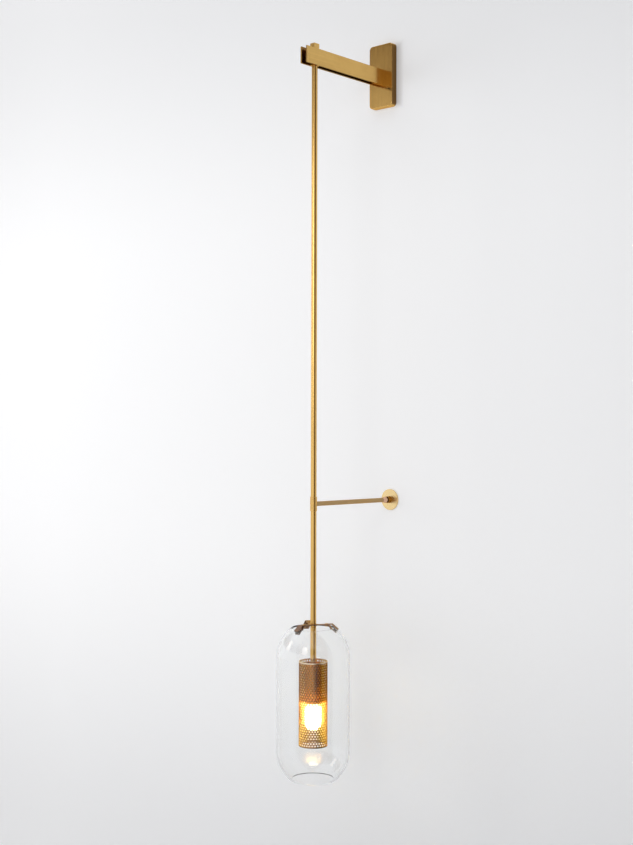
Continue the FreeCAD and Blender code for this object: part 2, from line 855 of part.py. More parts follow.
def build_shade():
    save("drop_rod", drop_rod())
    save("claw_spider", claw_spider())
    save("spider_stop_ring", spider_stop_ring())
    for name, angle in zip(claw_names, claw_angles):
        save("claw_leaf_" + name, turned(claw_leaf(), angle))
    save("claw_pads", *claw_pads())
    save("claw_screws", *[turned(claw_screw_solid(), angle) for angle in claw_angles])
    save("glass_shade", glass_shade())


def build_lamp():
    save("rod_nipple", rod_nipple())
    save("nipple_nut", nipple_nut())
    save("lampholder_cup", lampholder_cup())
    save("tube_carrier", tube_carrier())
    save("perforated_tube", perforated_tube())
    save("tube_rim_top", tube_rim(tube_top_z - rim_height))
    save("tube_rim_bottom", tube_rim(tube_bottom_z))
    save("lampholder_body", lampholder_body())
    save("contact_shell", contact_shell())
    save("centre_contact", centre_contact())
    save("shade_ring", shade_ring())
    save("bulb_glass", bulb_glass())
    save("bulb_cap", bulb_cap())
    save("bulb_tip", bulb_tip())
    save("bulb_stem", bulb_stem())
    save("bulb_filaments", *bulb_filaments())


build_wall_end()
build_arm()
build_stay()
build_shade()
build_lamp()
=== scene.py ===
import bpy
import bmesh
import math
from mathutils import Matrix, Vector


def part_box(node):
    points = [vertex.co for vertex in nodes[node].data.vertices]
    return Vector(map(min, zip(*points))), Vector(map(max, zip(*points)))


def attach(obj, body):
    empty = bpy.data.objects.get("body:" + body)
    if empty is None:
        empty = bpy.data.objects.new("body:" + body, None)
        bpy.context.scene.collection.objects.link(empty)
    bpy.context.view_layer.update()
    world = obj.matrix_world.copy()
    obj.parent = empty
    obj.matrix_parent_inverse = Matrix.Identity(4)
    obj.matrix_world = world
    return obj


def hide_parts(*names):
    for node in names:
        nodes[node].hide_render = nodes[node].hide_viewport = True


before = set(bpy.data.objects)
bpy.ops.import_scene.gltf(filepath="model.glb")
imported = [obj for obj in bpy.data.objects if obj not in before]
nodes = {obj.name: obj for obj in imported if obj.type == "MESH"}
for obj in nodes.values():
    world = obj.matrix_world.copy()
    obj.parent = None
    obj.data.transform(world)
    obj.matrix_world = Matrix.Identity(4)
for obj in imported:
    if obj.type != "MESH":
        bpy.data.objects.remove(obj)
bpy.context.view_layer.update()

print("frame loaded,", len(nodes), "nodes")

# the drop rod's axis, which the glass, the tube and the bulb are turned about
rodX, rodY = 0.0, sum(corner.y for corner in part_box("drop_rod")) / 2


def meshPiece(name, bm, sharpAngle=35):
    bmesh.ops.recalc_face_normals(bm, faces=bm.faces)
    data = bpy.data.meshes.new(name)
    bm.to_mesh(data)
    bm.free()
    data.polygons.foreach_set("use_smooth", [True] * len(data.polygons))
    data.set_sharp_from_angle(angle=math.radians(sharpAngle))
    piece = bpy.data.objects.new(name, data)
    bpy.context.scene.collection.objects.link(piece)
    return piece


def arcPoints(centre, radius, start, end, steps):
    points = []
    for step in range(steps + 1):
        angle = math.radians(start + (end - start) * step / steps)
        points.append((centre[0] + radius * math.cos(angle), centre[1] + radius * math.sin(angle)))
    return points


def turnProfile(name, profile, segments, closed=True, sharpAngle=35):
    # profile is (radius, z) points, turned about the rod; a radius of 0 makes a pole
    bm = bmesh.new()
    rings = []
    for radius, z in profile:
        if radius < 1e-6:
            rings.append([bm.verts.new((rodX, rodY, z))])
            continue
        ring = []
        for index in range(segments):
            angle = 2 * math.pi * index / segments
            ring.append(bm.verts.new((rodX + radius * math.cos(angle), rodY + radius * math.sin(angle), z)))
        rings.append(ring)
    pairs = list(zip(rings, rings[1:]))
    if closed:
        pairs.append((rings[-1], rings[0]))
    for low, high in pairs:
        for index in range(segments):
            after = (index + 1) % segments
            if len(low) == 1:
                bm.faces.new((low[0], high[index], high[after]))
            elif len(high) == 1:
                bm.faces.new((low[index], low[after], high[0]))
            else:
                bm.faces.new((low[index], low[after], high[after], high[index]))
    return meshPiece(name, bm, sharpAngle)


def newGroup(name, inputs, outputs):
    group = bpy.data.node_groups.new(name, "ShaderNodeTree")
    for label, kind, value in inputs:
        socket = group.interface.new_socket(name=label, in_out="INPUT", socket_type=kind)
        if value is not None:
            socket.default_value = value
    for label, kind in outputs:
        group.interface.new_socket(name=label, in_out="OUTPUT", socket_type=kind)
    entry = group.nodes.new("NodeGroupInput")
    leave = group.nodes.new("NodeGroupOutput")
    return group, entry.outputs, leave.inputs


def addMath(tree, operation, first, second=None, clamp=False):
    node = tree.nodes.new("ShaderNodeMath")
    node.operation = operation
    node.use_clamp = clamp
    for index, value in enumerate((first, second)):
        if value is None:
            continue
        if isinstance(value, (int, float)):
            node.inputs[index].default_value = value
        else:
            tree.links.new(value, node.inputs[index])
    return node.outputs[0]


def addVector(tree, operation, first, second=None):
    node = tree.nodes.new("ShaderNodeVectorMath")
    node.operation = operation
    tree.links.new(first, node.inputs[0])
    if second is not None:
        tree.links.new(second, node.inputs[1])
    return node.outputs[0]


def splitVector(tree, vector):
    split = tree.nodes.new("ShaderNodeSeparateXYZ")
    tree.links.new(vector, split.inputs[0])
    return split.outputs


def addRamp(tree, value, low, high, outLow=0.0, outHigh=1.0, kind="SMOOTHSTEP"):
    node = tree.nodes.new("ShaderNodeMapRange")
    node.interpolation_type = kind
    for label, setting in (("From Min", low), ("From Max", high), ("To Min", outLow), ("To Max", outHigh)):
        if isinstance(setting, (int, float)):
            node.inputs[label].default_value = setting
        else:
            tree.links.new(setting, node.inputs[label])
    tree.links.new(value, node.inputs["Value"])
    return node.outputs["Result"]


def addMix(tree, factor, first, second, blend="MIX"):
    node = tree.nodes.new("ShaderNodeMix")
    node.data_type = "RGBA"
    node.blend_type = blend
    for index, value in ((0, factor), (6, first), (7, second)):   # the colour mix's own sockets
        if isinstance(value, (int, float, tuple)):
            node.inputs[index].default_value = value
        else:
            tree.links.new(value, node.inputs[index])
    return node.outputs[2]


def addNoise(tree, vector, scale, detail=2.0, roughness=0.5):
    node = tree.nodes.new("ShaderNodeTexNoise")
    node.inputs["Detail"].default_value = detail
    node.inputs["Roughness"].default_value = roughness
    if isinstance(scale, (int, float)):
        node.inputs["Scale"].default_value = scale
    else:
        tree.links.new(scale, node.inputs["Scale"])
    tree.links.new(vector, node.inputs["Vector"])
    return node.outputs["Fac"]


noiseSpan = (0.3, 0.7)     # where most of a noise's values lie

# the shared effects follow, each a node group with its own settings as inputs
grainShape = {"broadShare": 0.16, "depthShare": 0.1}     # width of the streaks, depth of the lathe rings


def makeBrushedGrain():
    # fine straight scratches: noise squeezed across the brushing and drawn out along it
    group, given, result = newGroup("brushedGrain",
        [("Vector", "NodeSocketVector", None), ("Stretch", "NodeSocketVector", (1.0, 1.0, 0.03)),
         ("Fineness", "NodeSocketFloat", 3200.0)],
        [("Scratch", "NodeSocketFloat"), ("Broad", "NodeSocketFloat")])
    stretched = addVector(group, "MULTIPLY", given["Vector"], given["Stretch"])
    broadScale = addMath(group, "MULTIPLY", given["Fineness"], grainShape["broadShare"])
    fine = addNoise(group, stretched, given["Fineness"], detail=3.0, roughness=0.65)
    group.links.new(fine, result["Scratch"])
    group.links.new(addNoise(group, stretched, broadScale), result["Broad"])
    return group


def makeTurnedGrain():
    # rings left by a lathe: lines that depend only on the distance from an axis along Y
    group, given, result = newGroup("turnedGrain",
        [("Vector", "NodeSocketVector", None), ("Centre", "NodeSocketVector", (0.0, 0.0, 0.0)),
         ("Fineness", "NodeSocketFloat", 2600.0)],
        [("Scratch", "NodeSocketFloat")])
    x, y, z = splitVector(group, addVector(group, "SUBTRACT", given["Vector"], given["Centre"]))
    squared = addMath(group, "ADD", addMath(group, "MULTIPLY", x, x), addMath(group, "MULTIPLY", z, z))
    join = group.nodes.new("ShaderNodeCombineXYZ")
    group.links.new(addMath(group, "SQRT", squared), join.inputs[0])
    group.links.new(addMath(group, "MULTIPLY", y, grainShape["depthShare"]), join.inputs[1])
    rings = addNoise(group, join.outputs[0], given["Fineness"], detail=3.0, roughness=0.6)
    group.links.new(rings, result["Scratch"])
    return group


toneShape = {"cloudFrom": 0.42, "cloudTo": 0.68,
             "speckScale": 900.0, "speckFrom": 0.62, "speckTo": 0.78, "speckShare": 0.5}


def makeHandledTone():
    # slow clouds of darker, browner lacquer where hands and years have been, with small specks
    group, given, result = newGroup("handledTone",
        [("Vector", "NodeSocketVector", None), ("Clean", "NodeSocketColor", (0.7, 0.45, 0.14, 1.0)),
         ("Aged", "NodeSocketColor", (0.5, 0.29, 0.08, 1.0)), ("Amount", "NodeSocketFloat", 0.3),
         ("Cloud Size", "NodeSocketFloat", 28.0)],
        [("Colour", "NodeSocketColor"), ("Cloud", "NodeSocketFloat")])
    cloud = addNoise(group, given["Vector"], given["Cloud Size"], detail=5.0, roughness=0.6)
    cloudMask = addRamp(group, cloud, toneShape["cloudFrom"], toneShape["cloudTo"])
    speck = addNoise(group, given["Vector"], toneShape["speckScale"], detail=2.0, roughness=0.7)
    speckMask = addRamp(group, speck, toneShape["speckFrom"], toneShape["speckTo"])
    speckMask = addMath(group, "MULTIPLY", speckMask, toneShape["speckShare"])
    whole = addMath(group, "MULTIPLY", addMath(group, "ADD", cloudMask, speckMask, True), given["Amount"])
    group.links.new(addMix(group, whole, given["Clean"], given["Aged"]), result["Colour"])
    group.links.new(cloudMask, result["Cloud"])
    return group


wearShape = {"raggedScale": 420.0, "raggedReach": 2.0}


def makeEdgeWear():
    # paler, rubbed metal near the long edges of a box shape, broken up by noise
    group, given, result = newGroup("edgeWear",
        [("Vector", "NodeSocketVector", None), ("Centre", "NodeSocketVector", (0.0, 0.0, 0.0)),
         ("Half Size", "NodeSocketVector", (0.01, 0.01, 0.01)), ("Width", "NodeSocketFloat", 0.0008)],
        [("Mask", "NodeSocketFloat")])
    fromCentre = addVector(group, "ABSOLUTE", addVector(group, "SUBTRACT", given["Vector"], given["Centre"]))
    x, y, z = splitVector(group, addVector(group, "SUBTRACT", given["Half Size"], fromCentre))
    nearest = addMath(group, "MINIMUM", addMath(group, "MAXIMUM", x, y), addMath(group, "MAXIMUM", y, z))
    nearest = addMath(group, "MINIMUM", nearest, addMath(group, "MAXIMUM", x, z))
    ragged = addNoise(group, given["Vector"], wearShape["raggedScale"], detail=3.0, roughness=0.6)
    ragged = addMath(group, "MULTIPLY", ragged, wearShape["raggedReach"])
    reach = addMath(group, "MULTIPLY", given["Width"], ragged)
    group.links.new(addRamp(group, nearest, 0.0, reach, 1.0, 0.0), result["Mask"])
    return group


dustShape = {"upFrom": 0.55, "upTo": 0.98, "patchScale": 240.0, "patchFrom": 0.35, "patchTo": 0.75}


def makeSettledDust():
    # a thin grey film on what faces up
    group, given, result = newGroup("settledDust",
        [("Vector", "NodeSocketVector", None), ("Normal", "NodeSocketVector", (0.0, 0.0, 1.0)),
         ("Amount", "NodeSocketFloat", 0.25)],
        [("Mask", "NodeSocketFloat")])
    up = addRamp(group, splitVector(group, given["Normal"])[2], dustShape["upFrom"], dustShape["upTo"])
    patches = addNoise(group, given["Vector"], dustShape["patchScale"], detail=4.0, roughness=0.7)
    patches = addRamp(group, patches, dustShape["patchFrom"], dustShape["patchTo"])
    film = addMath(group, "MULTIPLY", up, patches)
    group.links.new(addMath(group, "MULTIPLY", film, given["Amount"]), result["Mask"])
    return group


brushedGrain = makeBrushedGrain()
turnedGrain = makeTurnedGrain()
handledTone = makeHandledTone()
edgeWear = makeEdgeWear()
settledDust = makeSettledDust()
print("shared effects made")


def placeGroup(tree, group, values):
    node = tree.nodes.new("ShaderNodeGroup")
    node.node_tree = group
    for label, value in values.items():
        if isinstance(value, bpy.types.NodeSocket):
            tree.links.new(value, node.inputs[label])
        else:
            node.inputs[label].default_value = value
    return node.outputs


def newMaterial(name):
    material = bpy.data.materials.new(name)
    material.use_nodes = True
    tree = material.node_tree
    place = tree.nodes.new("ShaderNodeTexCoord").outputs["Object"]
    return material, tree, tree.nodes["Principled BSDF"], place


def addBump(tree, shader, height, strength, distance):
    bump = tree.nodes.new("ShaderNodeBump")
    bump.inputs["Strength"].default_value = strength
    bump.inputs["Distance"].default_value = distance
    tree.links.new(height, bump.inputs["Height"])
    tree.links.new(bump.outputs["Normal"], shader.inputs["Normal"])


def mixClear(tree, shader, factor, colour=(1.0, 1.0, 1.0, 1.0)):
    # the surface lets light straight through where factor is 1
    clear = tree.nodes.new("ShaderNodeBsdfTransparent")
    clear.inputs["Color"].default_value = colour
    mix = tree.nodes.new("ShaderNodeMixShader")
    tree.links.new(factor, mix.inputs[0])
    tree.links.new(shader.outputs[0], mix.inputs[1])
    tree.links.new(clear.outputs[0], mix.inputs[2])
    tree.links.new(mix.outputs[0], tree.nodes["Material Output"].inputs["Surface"])


def dress(material, *names):
    for name in names:
        piece = nodes[name]
        piece.data.materials.clear()
        piece.data.materials.append(material)


# where every brass finish starts; a piece's own finish names only what differs
commonFinish = {
    "clean": (0.71, 0.455, 0.150, 1.0),
    "aged": (0.50, 0.275, 0.075, 1.0),
    "rubbed": (0.88, 0.66, 0.34, 1.0),
    "dust": (0.36, 0.34, 0.31, 1.0),
    "rimTint": (1.0, 0.74, 0.42, 1.0),     # colour at grazing angles
    "agedAmount": 0.25, "cloudSize": 28.0,
    "fineness": 3200.0, "streakDark": 0.95, "streakPale": 1.04,
    "roughBelow": 0.05, "roughAbove": 0.07,   # how far the scratches move the roughness
    "wearWidth": 0.0006, "wearAmount": 0.6, "wornSmoother": 0.06,
    "dustAmount": 0.22, "dustRougher": 0.5,
    "coat": 0.02, "coatRough": 0.12,
    "bump": 0.12, "scratchDepth": 0.00004,
}


def satinBrass(name, settings):
    # settings needs rough, and stretch for brushed grain or turnedAbout for lathe rings
    finish = {**commonFinish, **settings}
    material, tree, shader, place = newMaterial(name)
    if "turnedAbout" in finish:
        grain = placeGroup(tree, turnedGrain, {"Vector": place, "Centre": finish["turnedAbout"],
                                               "Fineness": finish["fineness"]})
        broad = grain["Scratch"]
    else:
        grain = placeGroup(tree, brushedGrain, {"Vector": place, "Stretch": finish["stretch"],
                                                "Fineness": finish["fineness"]})
        broad = grain["Broad"]
    tone = placeGroup(tree, handledTone, {"Vector": place, "Clean": finish["clean"], "Aged": finish["aged"],
                                          "Amount": finish["agedAmount"], "Cloud Size": finish["cloudSize"]})
    streak = addRamp(tree, broad, *noiseSpan, finish["streakDark"], finish["streakPale"])
    streakColour = tree.nodes.new("ShaderNodeCombineColor")
    for channel in streakColour.inputs:
        tree.links.new(streak, channel)
    colour = addMix(tree, 1.0, tone["Colour"], streakColour.outputs[0], "MULTIPLY")
    rough = addRamp(tree, grain["Scratch"], *noiseSpan, finish["rough"] - finish["roughBelow"],
                    finish["rough"] + finish["roughAbove"])
    if "wearNode" in finish:
        low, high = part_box(finish["wearNode"])
        wear = placeGroup(tree, edgeWear, {"Vector": place, "Centre": (low + high) / 2,
                                           "Half Size": (high - low) / 2, "Width": finish["wearWidth"]})
        wearAmount = addMath(tree, "MULTIPLY", wear["Mask"], finish["wearAmount"])
        colour = addMix(tree, wearAmount, colour, finish["rubbed"])
        smoother = addMath(tree, "MULTIPLY", wear["Mask"], finish["wornSmoother"])
        rough = addMath(tree, "SUBTRACT", rough, smoother)
    normal = tree.nodes.new("ShaderNodeNewGeometry").outputs["Normal"]
    dust = placeGroup(tree, settledDust, {"Vector": place, "Normal": normal, "Amount": finish["dustAmount"]})
    colour = addMix(tree, dust["Mask"], colour, finish["dust"])
    rougher = addMath(tree, "MULTIPLY", dust["Mask"], finish["dustRougher"])
    tree.links.new(colour, shader.inputs["Base Color"])
    tree.links.new(addMath(tree, "ADD", rough, rougher, True), shader.inputs["Roughness"])
    shader.inputs["Metallic"].default_value = 1.0
    shader.inputs["Specular Tint"].default_value = finish["rimTint"]
    shader.inputs["Coat Weight"].default_value = finish["coat"]
    shader.inputs["Coat Roughness"].default_value = finish["coatRough"]
    addBump(tree, shader, grain["Scratch"], finish["bump"], finish["scratchDepth"])
    return material


# painted shade: faces that point a given way are darkened towards a dull brown, for the shade they lie in
paintedShadeFaces = {
    "from": 0.55, "to": 0.92,      # how squarely a face has to point that way
    "cover": 0.92,
    "plateSide": (0.17, 0.09, 0.035, 1.0),
    "barGap": (0.22, 0.115, 0.04, 1.0),
    "barUnder": (0.13, 0.07, 0.03, 1.0),
}


def paintShadeFacing(material, axis, sign, tone):
    tree = material.node_tree
    target = tree.nodes["Principled BSDF"].inputs["Base Color"]
    normal = splitVector(tree, tree.nodes.new("ShaderNodeNewGeometry").outputs["Normal"])
    facing = addMath(tree, "MULTIPLY", normal[axis], sign)
    paintedShadeMask = addRamp(tree, facing, paintedShadeFaces["from"], paintedShadeFaces["to"], 0.0, paintedShadeFaces["cover"])
    tree.links.new(addMix(tree, paintedShadeMask, target.links[0].from_socket, paintedShadeFaces[tone]), target)


plateFinish = {"stretch": (1.0, 1.0, 0.02), "rough": 0.17, "agedAmount": 0.3, "wearNode": "wall_plate",
               "wearWidth": 0.0008, "wearAmount": 0.3, "bump": 0.10}
plateBrass = satinBrass("plateBrass", plateFinish)
# painted shade on the plate's right side face
paintShadeFacing(plateBrass, 0, 1.0, "plateSide")
dress(plateBrass, "wall_plate")

barFinish = {"stretch": (1.0, 0.015, 1.0), "rough": 0.2, "agedAmount": 0.22, "bump": 0.10}
for side, inward in (("left", 1.0), ("right", -1.0)):
    barBrass = satinBrass("barBrass_" + side, dict(barFinish, wearNode="arm_bar_" + side))
    # painted shade on each bar's inner face, which looks into the gap, and on its underside
    paintShadeFacing(barBrass, 0, inward, "barGap")
    paintShadeFacing(barBrass, 2, -1.0, "barUnder")
    dress(barBrass, "arm_bar_" + side)

blockFinish = {"stretch": (1.0, 0.02, 1.0), "rough": 0.26, "agedAmount": 0.35, "wearNode": "hanger_block"}
dress(satinBrass("blockBrass", blockFinish), "hanger_block", "arm_root_block", "wire_conduit",
      "swivel_washer")

rodFinish = {"stretch": (1.0, 1.0, 0.01), "rough": 0.2, "agedAmount": 0.14, "cloudSize": 9.0, "bump": 0.03}
dress(satinBrass("rodBrass", rodFinish), "drop_rod", "spider_stop_ring")

stayFinish = {"stretch": (1.0, 0.012, 1.0), "rough": 0.34, "agedAmount": 0.2, "bump": 0.08,
              "clean": (0.42, 0.285, 0.14, 1.0)}
dress(satinBrass("stayBrass", stayFinish), "stay_rod")

roseLow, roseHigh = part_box("wall_rose")
roseFinish = {"turnedAbout": (roseLow + roseHigh) / 2, "fineness": 2600.0, "rough": 0.3, "agedAmount": 0.12,
              "bump": 0.2, "clean": (0.82, 0.63, 0.32, 1.0)}
dress(satinBrass("roseBrass", roseFinish), "wall_rose", "swivel_ball")

nutFinish = {"stretch": (1.0, 0.2, 1.0), "fineness": 900.0, "rough": 0.14, "bump": 0.4,
             "clean": (0.50, 0.27, 0.06, 1.0), "aged": (0.10, 0.04, 0.012, 1.0), "agedAmount": 0.95,
             "cloudSize": 240.0}
dress(satinBrass("nutBrass", nutFinish), "knurled_nut")

ferruleFinish = {"stretch": (1.0, 0.2, 1.0), "rough": 0.2, "agedAmount": 0.3,
                 "clean": (0.66, 0.42, 0.29, 1.0), "aged": (0.34, 0.19, 0.13, 1.0)}
dress(satinBrass("ferruleBrass", ferruleFinish), "stay_ferrule")

boltFinish = {"stretch": (1.0, 1.0, 1.0), "fineness": 900.0, "rough": 0.28, "agedAmount": 0.35}
dress(satinBrass("boltBrass", boltFinish), "hanger_bolt", "claw_screws", "bar_screws", "cover_screws",
      "collar_set_screw", "stay_collar")

spiderFinish = {"stretch": (1.0, 1.0, 1.0), "fineness": 1400.0, "rough": 0.32, "agedAmount": 0.5,
                "clean": (0.27, 0.175, 0.13, 1.0), "aged": (0.15, 0.09, 0.07, 1.0)}
dress(satinBrass("spiderBrass", spiderFinish), "claw_spider", "claw_leaf_front", "claw_leaf_right",
      "claw_leaf_left")

contactFinish = {"stretch": (1.0, 1.0, 1.0), "rough": 0.25, "agedAmount": 0.1}
dress(satinBrass("contactBrass", contactFinish), "terminal_screws", "contact_shell", "centre_contact")

# painted glow: emission that stands in for bulb light bounced up past the carrier, fading towards the top
paintedBounceGlow = {"reach": 0.022, "fade": 0.006,
          "tube": (1.0, 0.47, 0.10, 1.0), "tubeStrength": 0.40,
          "cup": (1.0, 0.40, 0.06, 1.0), "cupStrength": 0.32}
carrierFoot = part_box("tube_carrier")[0].z


def addPaintedBounceGlow(material, colour, strength):
    tree = material.node_tree
    shader = tree.nodes["Principled BSDF"]
    height = splitVector(tree, tree.nodes.new("ShaderNodeTexCoord").outputs["Object"])[2]
    rise = addRamp(tree, height, carrierFoot + paintedBounceGlow["reach"], carrierFoot, 0.0, strength)
    above = addRamp(tree, height, carrierFoot - paintedBounceGlow["fade"], carrierFoot)
    tree.links.new(addMath(tree, "MULTIPLY", rise, above), shader.inputs["Emission Strength"])
    shader.inputs["Emission Color"].default_value = colour


# the deep orange of the cup and carrier is partly their brass and partly painted light, for bulb light
# bounced between brass faces
cupFinish = {"stretch": (1.0, 1.0, 0.02), "rough": 0.15, "rimTint": (0.6, 0.32, 0.12, 1.0),
             "clean": (0.70, 0.24, 0.008, 1.0), "aged": (0.32, 0.085, 0.004, 1.0), "agedAmount": 0.3,
             "coat": 0.0, "dustAmount": 0.05}
cupBrass = satinBrass("cupBrass", cupFinish)
# painted glow on the cup and the carrier
addPaintedBounceGlow(cupBrass, paintedBounceGlow["cup"], paintedBounceGlow["cupStrength"])
dress(cupBrass, "lampholder_cup", "tube_carrier")

tubeFinish = {"stretch": (1.0, 1.0, 0.02), "rough": 0.24, "rimTint": (0.34, 0.2, 0.1, 1.0),
              "clean": (0.39, 0.17, 0.012, 1.0), "aged": (0.19, 0.07, 0.006, 1.0), "agedAmount": 0.4,
              "coat": 0.0, "dustAmount": 0.05}
tubeBrass = satinBrass("tubeBrass", tubeFinish)

insideFinish = {"stretch": (1.0, 1.0, 0.02), "rough": 0.34, "clean": (0.80, 0.60, 0.20, 1.0),
                "aged": (0.58, 0.37, 0.09, 1.0), "agedAmount": 0.2, "coat": 0.0, "dustAmount": 0.0}
tubeInside = satinBrass("tubeInside", insideFinish)
# painted glow on the tube's inside
addPaintedBounceGlow(tubeInside, paintedBounceGlow["tube"], paintedBounceGlow["tubeStrength"])

lowRimFinish = {"stretch": (1.0, 1.0, 0.02), "rough": 0.24, "clean": (0.34, 0.19, 0.08, 1.0),
                "aged": (0.20, 0.11, 0.05, 1.0), "agedAmount": 0.5, "coat": 0.0, "dustAmount": 0.05}
# painted highlight: the top rim is a paler copy of the bottom rim's finish, for the light its upward face
# catches
topRimPaintedHighlight = dict(lowRimFinish, clean=(0.86, 0.74, 0.55, 1.0), aged=(0.62, 0.48, 0.32, 1.0), agedAmount=0.3)
dress(satinBrass("tubeRimBrass", lowRimFinish), "tube_rim_bottom")
dress(satinBrass("tubeRimPaintedHighlight", topRimPaintedHighlight), "tube_rim_top")
print("brass parts dressed")


steelFinish = {"stretch": (1.0, 1.0, 0.2), "fineness": 700.0, "clean": (0.62, 0.63, 0.62, 1.0),
               "aged": (0.45, 0.44, 0.40, 1.0), "agedAmount": 0.5, "cloudSize": 90.0,
               "rough": (0.3, 0.45), "bump": 0.15, "scratchDepth": 0.00005}


def platedSteel():
    material, tree, shader, place = newMaterial("platedSteel")
    grain = placeGroup(tree, brushedGrain, {"Vector": place, "Stretch": steelFinish["stretch"],
                                            "Fineness": steelFinish["fineness"]})
    tone = placeGroup(tree, handledTone, {"Vector": place, "Clean": steelFinish["clean"],
                                          "Aged": steelFinish["aged"], "Amount": steelFinish["agedAmount"],
                                          "Cloud Size": steelFinish["cloudSize"]})
    tree.links.new(tone["Colour"], shader.inputs["Base Color"])
    rough = addRamp(tree, grain["Scratch"], *noiseSpan, *steelFinish["rough"])
    tree.links.new(rough, shader.inputs["Roughness"])
    shader.inputs["Metallic"].default_value = 1.0
    addBump(tree, shader, grain["Scratch"], steelFinish["bump"], steelFinish["scratchDepth"])
    return material


dress(platedSteel(), "mounting_strap", "arm_backing_plate", "arm_root_screws", "earth_screw", "rod_nipple",
      "nipple_nut")

# plastic, rubber and ceramic start here: faint mottling and a fine skin
commonMould = {"fineness": 1500.0, "coat": 0.0, "coatRough": 0.08, "agedAmount": 0.5, "cloudSize": 60.0,
               "roughBelow": 0.06, "roughAbove": 0.08, "bump": 0.12, "skinDepth": 0.00008}


def mouldedStuff(name, settings):
    finish = {**commonMould, **settings}
    material, tree, shader, place = newMaterial(name)
    tone = placeGroup(tree, handledTone, {"Vector": place, "Clean": finish["clean"], "Aged": finish["aged"],
                                          "Amount": finish["agedAmount"], "Cloud Size": finish["cloudSize"]})
    tree.links.new(tone["Colour"], shader.inputs["Base Color"])
    skin = addNoise(tree, place, finish["fineness"], detail=4.0, roughness=0.6)
    rough = addRamp(tree, skin, *noiseSpan, finish["rough"] - finish["roughBelow"],
                    finish["rough"] + finish["roughAbove"])
    tree.links.new(rough, shader.inputs["Roughness"])
    shader.inputs["Coat Weight"].default_value = finish["coat"]
    shader.inputs["Coat Roughness"].default_value = finish["coatRough"]
    addBump(tree, shader, skin, finish["bump"], finish["skinDepth"])
    return material


terminalFinish = {"clean": (0.78, 0.76, 0.70, 1.0), "aged": (0.66, 0.62, 0.53, 1.0), "rough": 0.45}
dress(mouldedStuff("terminalPlastic", terminalFinish), "terminal_block")

holderFinish = {"clean": (0.85, 0.83, 0.78, 1.0), "aged": (0.72, 0.69, 0.61, 1.0), "rough": 0.3,
                "fineness": 700.0, "coat": 0.4}
dress(mouldedStuff("holderCeramic", holderFinish), "lampholder_body")

ringFinish = {"clean": (0.10, 0.055, 0.03, 1.0), "aged": (0.06, 0.03, 0.015, 1.0), "rough": 0.4}
dress(mouldedStuff("ringPlastic", ringFinish), "shade_ring")

padFinish = {"clean": (0.90, 0.89, 0.86, 1.0), "aged": (0.82, 0.79, 0.74, 1.0), "rough": 0.35,
             "clearness": 0.85, "bending": 1.41}
padSilicone = mouldedStuff("padSilicone", padFinish)
padShader = padSilicone.node_tree.nodes["Principled BSDF"]
padShader.inputs["Transmission Weight"].default_value = padFinish["clearness"]
padShader.inputs["IOR"].default_value = padFinish["bending"]
dress(padSilicone, "claw_pads")

stemFinish = {"clean": (0.8, 0.78, 0.72, 1.0), "aged": (0.7, 0.66, 0.58, 1.0), "rough": 0.5}
dress(mouldedStuff("stemCeramic", stemFinish), "bulb_stem", "bulb_filaments")

capFinish = {"threadScale": 90.0, "clean": (0.66, 0.62, 0.55, 1.0), "aged": (0.5, 0.44, 0.36, 1.0),
             "agedAmount": 0.5, "cloudSize": 120.0, "rough": (0.22, 0.38), "bump": 0.6, "threadDepth": 0.0006}


def capNickel():
    material, tree, shader, place = newMaterial("capNickel")
    thread = tree.nodes.new("ShaderNodeTexWave")
    thread.bands_direction = "Z"
    thread.inputs["Scale"].default_value = capFinish["threadScale"]
    tree.links.new(place, thread.inputs["Vector"])
    tone = placeGroup(tree, handledTone, {"Vector": place, "Clean": capFinish["clean"],
                                          "Aged": capFinish["aged"], "Amount": capFinish["agedAmount"],
                                          "Cloud Size": capFinish["cloudSize"]})
    tree.links.new(tone["Colour"], shader.inputs["Base Color"])
    tree.links.new(addRamp(tree, tone["Cloud"], 0.0, 1.0, *capFinish["rough"]), shader.inputs["Roughness"])
    shader.inputs["Metallic"].default_value = 1.0
    addBump(tree, shader, thread.outputs["Fac"], capFinish["bump"], capFinish["threadDepth"])
    return material


dress(capNickel(), "bulb_cap", "bulb_tip")
print("steel, plastic and ceramic parts dressed")


perforation = {"holesRound": 32, "rows": 34, "holeRadius": 0.00164, "sheet": 0.0008}


def holeAngles(cellWidth, rowHeight):
    # twelve points round a hole: one towards each of its cell's six points, and one after each
    corner = math.degrees(math.atan2(rowHeight, cellWidth))
    spots = [180 + corner, 270, 360 - corner, corner, 90, 180 - corner]
    angles = []
    for spot, following in zip(spots, spots[1:] + spots[:1]):
        gap = (following - spot) % 360
        angles += [spot, spot + gap / 2]
    return angles


